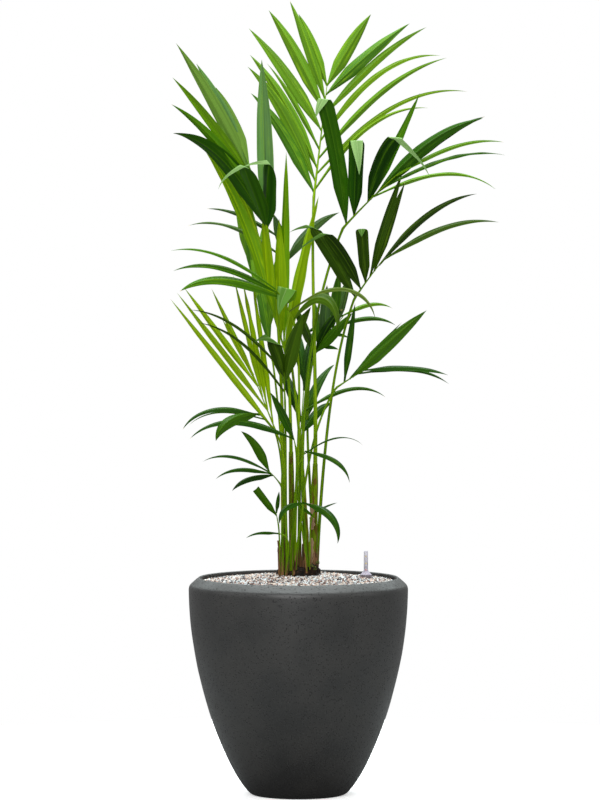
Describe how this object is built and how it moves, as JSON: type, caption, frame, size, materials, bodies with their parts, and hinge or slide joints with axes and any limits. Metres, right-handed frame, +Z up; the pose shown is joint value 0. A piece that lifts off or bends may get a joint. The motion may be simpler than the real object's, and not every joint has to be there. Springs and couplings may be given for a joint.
{
  "type": "potted palm",
  "caption": "Tall potted palm: a clump of slender green stems and arching feathery fronds in a round tapered planter topped with gravel, with a water level gauge.",
  "frame": {"origin": "centre of the planter's flat underside, on the floor", "axes": "+Z up, -Y the side that the plant is seen from, +X to the right from there"},
  "size_m": [0.7487, 0.5805, 1.7949],
  "materials": {
    "planter": "matt, finely pitted",
    "soil": "rough, crumbly",
    "gravel": "matt, loose stones",
    "gauge_plastic": "clear, glossy",
    "husk": "rough, fibrous",
    "sheath": "satin, ribbed",
    "stalk": "satin, smooth",
    "leaf": "satin, pleated"
  },
  "bodies": {
    "root": {"frond_back_centre": "leaf", "frond_back_low": "leaf", "frond_back_right": "leaf", "frond_front_centre": "leaf", "frond_front_left_mid": "leaf", "frond_front_pair": "leaf", "frond_left_bright": "leaf", "frond_left_bud": "leaf", "frond_left_low": "leaf", "frond_left_low_front": "leaf", "frond_left_lowest": "leaf", "frond_left_small": "leaf", "frond_left_spiky": "leaf", "frond_left_upper": "leaf", "frond_rear_left": "leaf", "frond_rear_low": "leaf", "frond_right_bud": "leaf", "frond_right_lower": "leaf", "frond_right_mid": "leaf", "frond_right_small": "leaf", "frond_right_upper": "leaf", "frond_top": "leaf", "gauge_cap": "gauge_plastic", "gauge_tube": "gauge_plastic", "gravel_bed": "gravel", "husk_mound": "husk", "planter_shell": "planter", "shoot_left_inner": "sheath", "shoot_left_outer": "sheath", "shoot_middle": "sheath", "shoot_right": "sheath", "soil_fill": "soil", "stalk_back_centre": "stalk", "stalk_back_low": "stalk", "stalk_back_right": "stalk", "stalk_front_centre": "stalk", "stalk_front_left_mid": "stalk", "stalk_front_pair": "stalk", "stalk_left_bright": "stalk", "stalk_left_bud": "stalk", "stalk_left_low": "stalk", "stalk_left_low_front": "stalk", "stalk_left_lowest": "stalk", "stalk_left_small": "stalk", "stalk_left_spiky": "stalk", "stalk_left_upper": "stalk", "stalk_rear_left": "stalk", "stalk_rear_low": "stalk", "stalk_right_bud": "stalk", "stalk_right_lower": "stalk", "stalk_right_mid": "stalk", "stalk_right_small": "stalk", "stalk_right_upper": "stalk", "stalk_top": "stalk", "stub_left": "husk", "stub_middle": "husk"}
  },
  "joints": []
}
